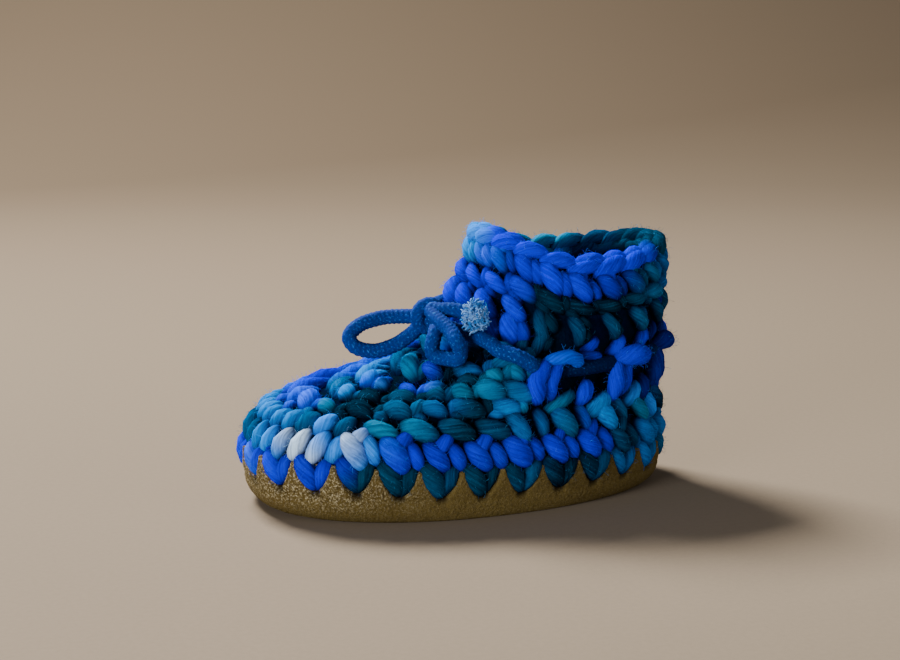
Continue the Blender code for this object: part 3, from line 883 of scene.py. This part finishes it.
# The ankle's posts, in collar stitches from the toe round the left side, the heel and the right
# side, and the way from each to the next. The last gap ends at the front.
postPlaces = (5.3, 7.25, 8.8, 10.2, 11.7, 13.2, 14.8)
postGaps = np.diff(postPlaces + (16.6,))


def fromKnot(rows):
    return np.array(tie["knotMiddle"]) + np.array(rows) * millimetre


def makeTieRound():  # round the heel the cord lies in its channel and dips behind each post
    stitches = np.linspace(postPlaces[0] - 0.15, postPlaces[-1] + 0.15, 160)
    nearest = np.abs(stitches[:, None] - np.array(postPlaces)[None]).min(axis=1)
    outs = tie["ankleOut"] - tie["dip"] * np.exp(-((nearest / tie["dipHalfWidth"]) ** 2))
    band = surface(tie["ankleHeight"], turnOf["collar"](stitches), outs * millimetre)
    cordPiece("tieRoundAnkle", band, ("tie_band",), tie["ankleShade"])


def makeTieHalf(name, half):
    firstPost = surface(tie["ankleHeight"], [turnOf["collar"](postPlaces[0])], 0.0)[0]
    ankle = [p for p in tieRoute(half["mirrored"])[::-1] if p[0] > firstPost[0] - millimetre]
    ankle = np.array(ankle)[:: max(1, len(ankle) // 9)]  # about nine points are enough
    route = [ankle] + [fromKnot(half[part]) for part in ("wrap", "loop", "back", "end")]
    made, path = cordPiece(name, np.concatenate(route), half["nodes"])
    length = float(np.linalg.norm(np.diff(path, axis=0), axis=1).sum())
    print(name, "length", round(length, 4))
    return made, path, length


makeTieRound()
cords = [makeTieHalf(name, half) for name, half in tieHalves.items()]


def makeKnotWrap():  # the turn of cord that holds the bow's middle
    wrap = tie["wrap"]
    turns = np.linspace(*wrap["turns"], 12)
    ring = np.stack([np.cos(turns), turns * wrap["rise"] / wrap["radius"], np.sin(turns)], axis=1)
    cordPiece("tieKnotWrap", fromKnot(wrap["middle"] + wrap["radius"] * ring), ("tie_knot",))


makeKnotWrap()

tuft = {
    "sides": 6,
    "twist": yarn["twist"],
    "lump": 0.00004,
    "ridge": 0.0,
    "points": 15,
    "thick": 0.24,  # millimetres
    "curlRadius": (0.35, 0.625),
    "curlTurn": (6.0, 10.0),  # radians along a curl
    "reach": (0.55, 1.0),  # of the ball's radius
    "tall": 1.15,  # height beside width
    "seed": 12,
    "palest": (0.28, 0.52, 0.90, 1.0),
    "bluest": (0.01, 0.20, 0.62, 1.0),
}
tufts = {  # middle and radius in millimetres, number of curls and node
    "tieTuftLeft": ((1.9, 18.2, 47.9), 4.5, 330, "tie_end_left"),
    "tieTuftRight": ((-10.0, -26.4, 46.2), 3.0, 100, "tie_end_right"),
}
goldenAngle = 2.39996


def makeTuft(name, middle, radius, curls, node):  # the frayed end: a ball of small curls
    draw = np.random.default_rng(tuft["seed"])
    count = tuft["points"]
    t = np.linspace(0.0, 1.0, count)
    strands = []
    for index in range(curls):
        lift = 1.0 - 2.0 * (index + 0.5) / curls
        turn = index * goldenAngle
        ring = math.sqrt(1.0 - lift * lift)
        way = np.array((ring * math.cos(turn) * 0.9, ring * math.sin(turn) * 0.9, lift * tuft["tall"]))
        side = np.cross(way, (0.3, 0.2, 1.0))
        side /= np.linalg.norm(side)
        other = np.cross(way, side)
        reach = radius * draw.uniform(*tuft["reach"])
        curl = draw.uniform(*tuft["curlRadius"])
        spin = draw.uniform(0.0, math.tau) + t * draw.uniform(*tuft["curlTurn"])
        line = (
            way[None] * (reach * (0.35 + 0.65 * t))[:, None]
            + side[None] * (curl * np.cos(spin))[:, None]
            + other[None] * (curl * np.sin(spin))[:, None]
        )
        pale = draw.uniform(0.0, 1.0)
        colour = np.array(tuft["palest"]) * pale + np.array(tuft["bluest"]) * (1.0 - pale)
        strands.append(
            {
                "points": (np.array(middle) + line) * millimetre,
                "thick": tuft["thick"] * millimetre * np.sin(np.pi * (0.12 + 0.76 * t)) ** 0.5,
                "dye": np.tile(colour, (count, 1)),
                "outer": np.zeros(count),
            }
        )
    values = inputsOf(tuft, woolMaterial, "sides", "twist", "lump", "ridge")
    return guidedPiece(name, strands, yarnStrandTree, values, "cord", node)


tuftPieces = [makeTuft(name, *values) for name, values in tufts.items()]
print("tie done")


# A round of stitches: which columns, the lines below and above, the chart, the lobes' size, and
# how else they differ from the table's.
def cellOf(columns, low, high, chart, size=1.0, **more):
    return dict(more, columns=columns, low=low, high=high, chart=chart, size=size)


def roundStrands(cell, names, first, last, step=1.0):
    return [lobeStrand(name, cell, at) for at in np.arange(first, last, step) for name in names]


posts = {
    "size": 0.95,
    "drop": 0.28,  # grooves, for all but the first
    "sink": 0.5,  # millimetres more for each from the third to the fifth
    "shift": 0.27,  # stitches toward the toe
    "lean": 0.24,  # of the first
    "leanFall": 0.123,  # a stitch
    "leanEnd": 2.5,
}
postLobes = (  # lobe, its place as a share of the way to the next post, and chart
    ("postLeft", 0.0, "post"),
    ("postRight", 0.0, "post"),
    ("postCap", 0.0, "postCap"),
    ("baseLean", -0.45, "foot3"),
    ("baseLean", 0.64, "foot3"),
    ("baseLeg", 1.08, "post"),
    ("smallCap", 0.76, "post"),
    ("wedge", -0.65, "post"),
    ("wedge", 0.34, "post"),
)


def postStrands():
    strands = []
    for k, place in enumerate(postPlaces):
        drop = posts["drop"] if k else 0.0
        for name, share, chart in postLobes:
            if k == 0 and share < -0.4:  # nothing leans in before the first post
                continue
            at = place + share * (1.0 if share < 0.0 else postGaps[k] / postGaps[0])
            cell = cellOf("collar", 5 - drop, 6 - drop, chart, posts["size"])
            cell["sink"] = posts["sink"] * np.clip(k - 1, 0, 3)
            if name in ("postLeft", "postRight"):
                past = min(place - postPlaces[0], posts["leanEnd"])
                cell["lean"] = posts["lean"] - posts["leanFall"] * past
                at -= posts["shift"]
            strands.append(lobeStrand(name, cell, at))
    return strands


def makeUpper():
    foot, collar = form["footStitches"], form["collarStitches"]
    uprights, leads, longs = ("uprightOne", "uprightTwo"), ("lead", "trail", "peak"), ("long", "tuck")
    edge = cellOf("foot", 1.09, 2.08, "edge", toeSink=0.5)
    rows = roundStrands(edge, ("edgeLeft", "edgeRight", "edgeKnot"), -form["edgeShift"], foot - 0.2)
    pieces = {"upperEdgeStitches": rows}
    first = cellOf("foot", 2, 3, "foot1", 0.88, toeSink=0.5)
    rows = roundStrands(first, uprights, -2.85, 3.0)
    pieces["upperFootRound1"] = rows + roundStrands(first, leads, 2.92, foot - 3.5)
    second = cellOf("foot", 3, 4, "foot2", 0.88, toeSink=0.9)
    rows = roundStrands(dict(second, lean=0.3), uprights, -2.0, 3.0)
    rows += roundStrands(second, ("wide",), 3.23, 6.2, 0.9)
    rows += roundStrands(dict(second, stretch=1.29), leads[:2], 6.64, foot - 2.5, 1.29)
    pieces["upperFootRound2"] = rows

    lines = (5.0, 3.6, 0.2), (5.5, 3.6, 0.17), (6.0, 4.4, 0.2)  # between the vamp's rows
    third = cellOf("foot", 4, lines[0], "foot3", 0.98, toeSink=0.7)
    rows = roundStrands(third, longs + ("under",), -7.1, 6.5)
    vamp = cellOf("foot", lines[0], lines[1], "vamp", toeSink=0.7)
    rows += roundStrands(vamp, longs, -6.85, 7.0)
    vampTop = cellOf("foot", lines[1], lines[2], "vampTop", 0.98, toeSink=0.7)
    rows += roundStrands(vampTop, longs, -6.65, 7.0)
    rows += roundStrands(cellOf("collar", 6, 6.5, "throat", 0.9), longs, -4.0, 4.0)
    rows += roundStrands(cellOf("collar", 6.5, 7.02, "throat", 0.88), longs, -2.7, 3.0)
    pieces["upperVampRounds"] = rows
    pieces["upperAnklePosts"] = postStrands()

    front = cellOf("collar", 7, 8, "collar1", 0.88)
    rows = roundStrands(front, ("slopeHigh", "slopeLow", "slopeSide"), -2.8, 3.0)
    side = cellOf("collar", 6.02, 8, "leaf", 0.86)
    rows += roundStrands(side, ("leaf",), 3.3, collar - 3.0, 1.1)
    side["chart"] = "collar1"
    rows += roundStrands(side, ("besideLeaf", "underLeaf"), 3.3, collar - 3.0, 1.1)
    rows += roundStrands(cellOf("collar", 8, 9, "collar2", 0.78), longs + ("under",), 0.1, collar)
    pieces["upperCollarLower"] = rows
    rows = roundStrands(cellOf("collar", 9, 10, "collar3", 0.78), leads, 0.1, collar)
    braid = cellOf("collar", 10, 11, "rim", 0.90, open=True)
    for name, start in (("braidOut", 0.15), ("braidTop", 0.55), ("braidIn", 0.05)):
        rows += roundStrands(braid, (name,), start, collar)
    pieces["upperCollarTop"] = rows
    rows = []
    for low, chart in ((7, "collar1"), (8, "collar2"), (9, "collar3"), (10, "rim")):
        inside = cellOf("collar", low, low + 1, chart, 0.8, open=True)
        rows += roundStrands(inside, ("inside",), 0.3 + 0.5 * (low % 2), collar)
    pieces["upperCollarInside"] = rows
    return {name: yarnPiece(name, strands) for name, strands in pieces.items()}


upperPieces = makeUpper()
print("stitches done")


def ringMesh(name, rings, closed, material):  # faces between rings of equal size
    mesh = bmesh.new()
    made = [[mesh.verts.new(p) for p in ring] for ring in rings]
    for low, high in zip(made, made[1:] + (made[:1] if closed else [])):
        for i in range(len(low)):
            k = (i + 1) % len(low)
            mesh.faces.new((low[i], low[k], high[k], high[i]))
    if not closed:
        mesh.faces.new(made[0][::-1])
        mesh.faces.new(made[-1])
    bmesh.ops.recalc_face_normals(mesh, faces=mesh.faces)
    data = bpy.data.meshes.new(name)
    mesh.to_mesh(data)
    mesh.free()
    data.shade_smooth()
    data.materials.append(material)
    return newObject(name, data)


backing = {
    "front": 0.0020,  # depth of its two faces behind the form's surface
    "back": 0.0033,
    "columns": 162,
    "heights": (1.95, 11.0, 44),  # its lowest and highest ring in grooves, and how many
    # The backing's colours are near black: painted shade for the yarn seen in the gaps between the
    # lobes
    "dark": (0.001, 0.005, 0.012, 1.0),
    "blue": (0.001, 0.004, 0.028, 1.0),
    "fleck": (0.001, 0.014, 0.035, 1.0),
}


def backingMaterial():
    made, graph = newMaterial("shadedWoolBacking")
    broad = graph.noise(graph.place(), 60.0, 2.0)
    fine = graph.noise(graph.place(), 900.0, 4.0, 0.7)
    # Painted shade: near-black colours for the stitches' backs
    colour = graph.mix(graph.between(broad, 0.4, 0.6), backing["dark"], backing["blue"])
    colour = graph.mix(graph.between(fine, 0.45, 0.75) * 0.4, colour, backing["fleck"])
    return finishMaterial(made, graph, colour, 0.9, 0.0, Normal=graph.bump(0.8, 0.0008, fine))


def footTurns(count):  # turns all round the foot, evenly in stitches
    half = form["footStitches"] / 2
    stitches = np.linspace(-half, half, count + 1)[:-1]
    return stitches, turnOf["foot"](stitches)


def makeBacking():  # the stitches' backs, as one wall behind the lobes
    _, turns = footTurns(backing["columns"])
    heights = np.linspace(*backing["heights"])
    front = [surface(h, turns, -backing["front"]) for h in heights]
    back = [surface(h, turns, -backing["back"]) for h in heights[::-1]]
    settle(ringMesh("upperWall", front + back, True, backingMaterial()), "yarn", "upper")


makeBacking()
hairs = {  # share of the full density
    "upperEdgeStitches": 0.8,
    "upperFootRound1": 0.9,
    "upperFootRound2": 0.9,
    "upperVampRounds": 1.0,
    "upperAnklePosts": 1.0,
    "upperCollarLower": 1.0,
    "upperCollarTop": 1.0,
}
for piece, density in hairs.items():
    fuzzPiece(upperPieces[piece], density)
print("upper done")

suede = {
    "columns": 648,
    "wall": 0.002,
    "heights": (0.96, 1.98, 22),  # the punched edge's lowest and highest ring, and how many
    "dent": 0.0022,  # how far each stitch presses in
    "dentReach": (0.10, 0.36),  # half its width in stitches at the bottom, and what it gains
    "puff": 0.0007,
    "holeDepth": 0.0014,
    "holeAcross": 0.02,  # in stitches from the V's tip, as its half width is
    "holeHalfWidth": 0.125,
    "holeHeight": 1.03,  # counted in grooves, as its half height is
    "holeHalfHeight": 0.10,
    "pebble": 0.000036,
    "seed": 3,
    "brown": (0.090, 0.059, 0.014, 1.0),
    "tan": (0.124, 0.086, 0.023, 1.0),
    "nap": (0.66, 0.57, 0.36, 1.0),
    "pore": (0.04, 0.024, 0.008, 1.0),
    # hole: near black, painted shade inside the punched holes below the Vs' tips
    "hole": (0.010, 0.007, 0.004, 1.0),
}


def suedeMaterial():
    made, graph = newMaterial("suede")
    place = graph.place()
    broad = graph.noise(place, 45.0, 3.0, 0.6)
    nap = graph.noise(place, 1900.0, 3.0, 0.75)
    grain = graph.noise(place, 1300.0, 3.0, 0.7)
    parts = graph.add("ShaderNodeSeparateXYZ", {0: place})
    # Painted light: the toe above the floor, where the key light grazes, gets paler nap speckle and
    # darker pores than the rest
    litToe = graph.between(parts.out("X") + broad * 0.02, 0.026, 0.050)  # toe, above the floor
    litToe = litToe * graph.between(parts.out("Z") + broad * 0.003, 0.0035, 0.0085)
    colour = graph.mix(graph.between(broad, 0.3, 0.7), suede["brown"], suede["tan"])
    colour = graph.mix(graph.between(nap, 0.50, 0.62) * (0.06 + litToe * 0.54), colour, suede["nap"])
    pores = graph.between(grain, 0.50, 0.36) * (0.35 + litToe * 0.3)
    colour = graph.mix(pores, colour, suede["pore"])
    # Painted shade: the punched holes are darkened to near black
    colour = graph.mix(graph.attribute("hole"), colour, suede["hole"])
    bump = graph.bump(1.0, 0.0008, nap * 0.6 + grain * 0.7)
    return finishMaterial(made, graph, colour, 0.95, 0.08, Normal=bump)


def cupRing(flat, side, lift, turned):  # on the quarter turn from the bottom to the side
    ring = flat + math.sin(turned) * (side - flat)
    ring[:, 2] = lift + (side[:, 2] - lift) * (1.0 - math.cos(turned))
    return ring


def makeSole():
    stitches, turns = footTurns(suede["columns"])
    across = (stitches + form["edgeShift"]) % 1.0 - 0.5  # 0 under each V's tip

    def holeAt(height):
        sideways = (across - suede["holeAcross"]) / suede["holeHalfWidth"]
        return np.exp(-(sideways**4 + ((height - suede["holeHeight"]) / suede["holeHalfHeight"]) ** 4))

    def sideRing(height, inset=0.0, hole=0.0):  # pressed in under each V and puffed between two
        tip, gain = suede["dentReach"]
        reach = tip + gain * np.clip(height - 1.10, 0.0, 1.0) ** 0.75
        pressed = np.clip((reach - np.abs(across)) / 0.16 + 0.5, 0.0, 1.0)
        pressed *= pressed * (3.0 - 2.0 * pressed)
        pressed *= np.clip((height - 1.04) / 0.14, 0.0, 1.0)
        puffed = suede["puff"] * np.clip((height - 1.0) / 0.4, 0.0, 1.0)
        out = puffed * (1.0 - pressed) - suede["dent"] * pressed - suede["holeDepth"] * hole
        return surface(height, turns, out - inset)

    wall = suede["wall"]
    flat, side = surface(0.0, turns, 0.0), surface(1.0, turns, 0.0)
    middle = flat.mean(axis=0)
    rings = [middle + (flat - middle) * share for share in (0.25, 0.5, 0.75, 0.92)]
    pressedIn = sideRing(1.0) - side
    for turned in np.linspace(0.0, 0.5 * math.pi, 10)[:-1]:
        rings.append(cupRing(flat, side, 0.0, turned) + pressedIn * math.sin(turned) ** 6)
    first = len(rings)
    heights = np.linspace(*suede["heights"])
    rings += [sideRing(height, 0.0, holeAt(height)) for height in heights]
    rings.append(sideRing(2.0, 0.5 * wall))
    rings += [sideRing(height, wall) for height in (1.97, 1.5, 1.0)]
    inner = surface(1.0, turns, -wall)
    rings += [cupRing(flat, inner, wall, turned) for turned in np.linspace(0.5 * math.pi, 0.0, 5)[1:]]
    draw = np.random.default_rng(suede["seed"])
    for ring in rings[7:]:  # the bottom stays smooth
        ring += draw.normal(0.0, suede["pebble"], ring.shape)
    holes = np.zeros((len(rings), len(turns)))
    holes[first : first + len(heights)] = [holeAt(height) for height in heights]
    sole = ringMesh("suedeSole", rings, False, suedeMaterial())
    layer = sole.data.attributes.new("hole", "FLOAT", "POINT")
    layer.data.foreach_set("value", holes.ravel())
    settle(sole, "suede", "sole")


makeSole()
print("sole done")

fleece = {
    "columns": 130,
    # the pad's side: share of the way out from the floor's ring, and millimetres up
    "side": ((-0.1, 2.35), (0.22, 4.0), (0.3, 5.2), (0.1, 6.2), (-0.2, 6.5)),
    "top": (0.85, 0.7, 0.55, 0.4, 0.25, 0.12),
    "tufting": 0.00018,
    "seed": 5,
    "shade": (0.44, 0.37, 0.27, 1.0),
    "light": (0.76, 0.70, 0.58, 1.0),
}


def fleeceMaterial():
    made, graph = newMaterial("fleece")
    curl = graph.noise(graph.place(), 420.0, 4.0, 0.65)
    colour = graph.mix(graph.between(curl, 0.35, 0.65), fleece["shade"], fleece["light"])
    more = {"Sheen Weight": 0.3, "Normal": graph.bump(1.0, 0.0012, curl)}
    return finishMaterial(made, graph, colour, 1.0, 0.5, **more)


def makeInsole():
    _, turns = footTurns(fleece["columns"])
    flat, side = surface(0.0, turns, 0.0), surface(1.0, turns, -suede["wall"])
    middle = flat.mean(axis=0)
    draw = np.random.default_rng(fleece["seed"])
    rings = []
    for spread, lift in fleece["side"]:
        ring = flat + spread * (side - flat)
        ring[:, 2] = lift * millimetre
        rings.append(ring)
    edge = rings[-1]
    for share in fleece["top"]:
        ring = middle + (edge - middle) * share
        ring[:, 2] = edge[:, 2] + draw.normal(0.0, fleece["tufting"], len(turns))
        rings.append(ring)
    insole = ringMesh("fleeceInsole", rings, False, fleeceMaterial())
    settle(insole, "fleece", "insole")


makeInsole()
print("insole done")

studio = {
    "floor": (0.246, 0.193, 0.138, 1.0),
    "backdrop": (0.086, 0.063, 0.041, 1.0),
    "backdropStart": -0.55,
    "backdropBend": 0.6,
    "backdropTop": 2.4,
    "reach": 3.0,
    "front": 2.5,
    "lights": {  # place, size, power and colour
        "keyLight": ((0.20, -0.68, 0.74), 0.34, 36.0, (1.0, 0.98, 0.95)),
        "fillLight": ((0.80, 0.50, 0.11), 0.40, 13.0, (0.96, 0.98, 1.0)),
        "sideLight": ((-0.70, 0.74, 0.14), 0.50, 3.6, (1.0, 1.0, 1.0)),
    },
    "aim": (0.0, 0.0, 0.03),
    "sky": (0.92, 0.94, 1.0, 1.0),
    "skyStrength": 0.16,
}


def makeFloor():
    made, graph = newMaterial("floorPaper")
    place = graph.place()
    turned = math.radians(view["azimuth"] - 180.0)
    away = graph.add("ShaderNodeSeparateXYZ", {0: place}).out("Y") * math.cos(turned)
    colour = graph.mix(graph.between(away, 0.1, -0.6), studio["floor"], studio["backdrop"])
    grain = graph.between(graph.noise(place, 700.0, 2.0), 0.3, 0.7)
    colour = graph.mix(grain * 0.08, colour, studio["backdrop"])
    material = finishMaterial(made, graph, colour, 0.95, 0.1)
    start, bend = studio["backdropStart"], studio["backdropBend"]
    profile = [(studio["front"], 0.0), (start, 0.0)]
    for step in range(1, 17):
        angle = step / 16 * 0.5 * math.pi
        profile.append((start - bend * math.sin(angle), bend - bend * math.cos(angle)))
    profile.append((start - bend, studio["backdropTop"]))
    vertices = [(x, y, z) for y, z in profile for x in (-studio["reach"], studio["reach"])]
    faces = [(2 * i, 2 * i + 2, 2 * i + 3, 2 * i + 1) for i in range(len(profile) - 1)]
    mesh = bpy.data.meshes.new("floor")
    mesh.from_pydata(vertices, [], faces)
    mesh.transform(Matrix.Rotation(turned, 4, "Z"))
    mesh.shade_smooth()
    mesh.materials.append(material)
    newObject("floor", mesh)


def makeLights():
    for name, (place, size, power, tint) in studio["lights"].items():
        data = bpy.data.lights.new(name, "AREA")
        data.size = size
        data.energy = power
        data.color = tint
        away = Vector(place) - Vector(studio["aim"])
        newObject(name, data).matrix_world = aimed(Vector(place), away)
    world = bpy.data.worlds.new("studio")
    world.use_nodes = True
    sky = world.node_tree.nodes["Background"].inputs
    sky["Color"].default_value = studio["sky"]
    sky["Strength"].default_value = studio["skyStrength"]
    bpy.context.scene.world = world


makeFloor()
makeLights()
print("studio done")
